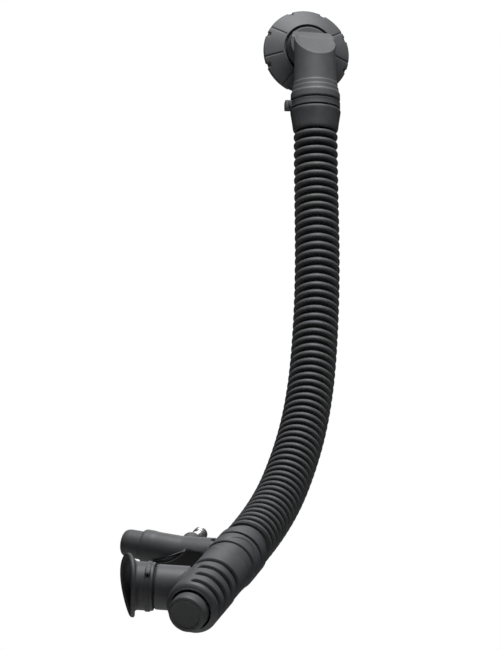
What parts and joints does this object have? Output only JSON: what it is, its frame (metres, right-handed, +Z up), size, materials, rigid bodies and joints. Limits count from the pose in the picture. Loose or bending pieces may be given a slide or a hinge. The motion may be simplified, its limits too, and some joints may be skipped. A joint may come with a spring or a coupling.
{
  "type": "buoyancy vest inflator hose",
  "caption": "Vented shoulder elbow on a curved corrugated hose that ends in an inflator head with two push buttons, a mouthpiece and a quick-connect nipple.",
  "frame": {"origin": "centre of the threaded mouth on the back of the shoulder valve, at its rim", "axes": "+Z up along the elbow's down tube, +Y out of the threaded mouth towards the bladder, +X to the left hand of a viewer behind it"},
  "size_m": [0.2169, 0.3042, 0.5087],
  "materials": {
    "shell_plastic": "fine satin texture",
    "head_plastic": "satin",
    "button_plastic": "fine matte",
    "hose_rubber": "matte",
    "soft_rubber": "matte",
    "tie_plastic": "satin",
    "seal_rubber": "smooth",
    "bright_metal": "polished plating",
    "spring_steel": "drawn wire",
    "brass": "turned"
  },
  "bodies": {
    "shoulder_valve": {"valve_base": "shell_plastic", "flange_gasket": "seal_rubber", "cover_shell": "shell_plastic"},
    "exhaust_plate": {"dump_poppet": "tie_plastic", "dump_seal": "seal_rubber", "dump_spring": "spring_steel"},
    "hose_and_head": {"elbow": "shell_plastic", "elbow_o_ring": "seal_rubber", "retaining_clip": "spring_steel", "pull_cable": "spring_steel", "cable_ends": "spring_steel", "hose": "hose_rubber", "upper_cuff": "hose_rubber", "lower_cuff": "hose_rubber", "hose_ties": "tie_plastic", "head_body": "head_plastic", "deflate_housing": "head_plastic", "inflate_cartridge": "brass", "cartridge_o_ring": "seal_rubber", "lp_nipple": "bright_metal", "nipple_core": "brass", "mouthpiece": "soft_rubber", "mouthpiece_tie": "tie_plastic", "deflate_spring": "spring_steel", "inflate_spring": "spring_steel"},
    "deflate_control": {"deflate_button": "button_plastic", "deflate_stem": "spring_steel", "deflate_seal": "seal_rubber", "seal_backing": "spring_steel"},
    "inflate_control": {"inflate_button": "button_plastic", "inflate_stem": "spring_steel", "inflate_seal": "seal_rubber"}
  },
  "joints": [
    {"name": "elbow_swivel", "type": "hinge", "parent": "shoulder_valve", "child": "hose_and_head", "pos_m": [0, -0.0225, 0], "axis": [0, 1, 0], "continuous": true},
    {"name": "dump_pull", "type": "slide", "parent": "shoulder_valve", "child": "exhaust_plate", "axis": [0, -1, 0], "range_m": [0, 0.002], "stiffness_N_per_m": 1500, "springref_m": -0.003, "deforming": ["dump_spring"]},
    {"name": "deflate_press", "type": "slide", "parent": "hose_and_head", "child": "deflate_control", "axis": [0.4984, 0.7093, 0.4984], "range_m": [0, 0.0045], "stiffness_N_per_m": 900, "springref_m": -0.004, "deforming": ["deflate_spring"]},
    {"name": "inflate_press", "type": "slide", "parent": "hose_and_head", "child": "inflate_control", "axis": [0.8622, -0.4655, -0.1998], "range_m": [0, 0.0025], "stiffness_N_per_m": 1500, "springref_m": -0.003, "deforming": ["inflate_spring"]}
  ]
}
